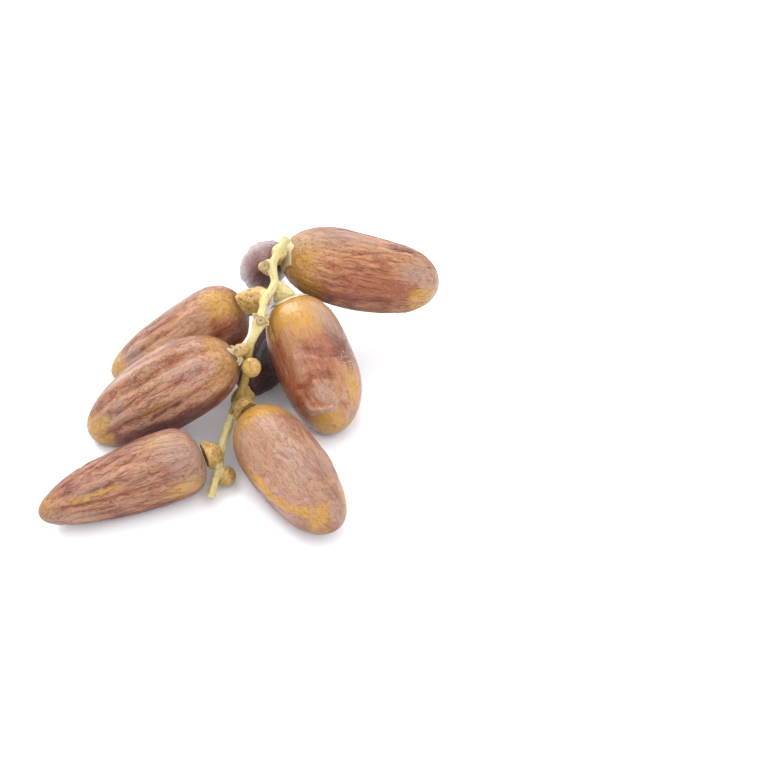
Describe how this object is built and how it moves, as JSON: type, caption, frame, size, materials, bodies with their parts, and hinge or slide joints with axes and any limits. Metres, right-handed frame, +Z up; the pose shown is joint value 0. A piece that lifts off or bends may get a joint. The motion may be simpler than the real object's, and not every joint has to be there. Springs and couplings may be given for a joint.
{
  "type": "deglet noor date",
  "caption": "Deglet noor dates on their cut strand, lying on a table: wrinkled amber-brown fruits, each in a woody calyx along a thin yellow stalk.",
  "frame": {"origin": "middle of the footprint, on the table", "axes": "+Z up from the table; the strand runs along Y, with its raised end at +Y and its low cut end at -Y; +X to the right, seen from the low end"},
  "size_m": [0.097, 0.1024, 0.0379],
  "materials": {
    "strand_wood": "pale yellow smooth bark, golden brown on calyces and fruitlets",
    "date_1_skin": "dried fruit skin, closely wrinkled lengthwise, satin, amber at both ends",
    "date_2_skin": "dried fruit skin, smooth and glossy, yellow amber shoulder, red-brown middle",
    "date_3_skin": "dried fruit skin, matte tan and mauve bloom on top, glossy amber rims",
    "date_4_skin": "dried fruit skin, lengthwise grooves, tan and mauve with amber lines",
    "date_5_skin": "dried fruit skin, creased, brown and mauve with an amber tip",
    "date_6_skin": "dried fruit skin, wrinkled, tan and amber",
    "date_7_skin": "dried fruit skin, finely wrinkled, purple-brown",
    "date_8_skin": "dried fruit skin, wrinkled, dark brown"
  },
  "bodies": {
    "root": {"strand": "strand_wood", "date_1": "date_1_skin", "date_2": "date_2_skin", "date_3": "date_3_skin", "date_4": "date_4_skin", "date_5": "date_5_skin", "date_6": "date_6_skin", "date_7": "date_7_skin", "date_8": "date_8_skin"}
  },
  "joints": []
}
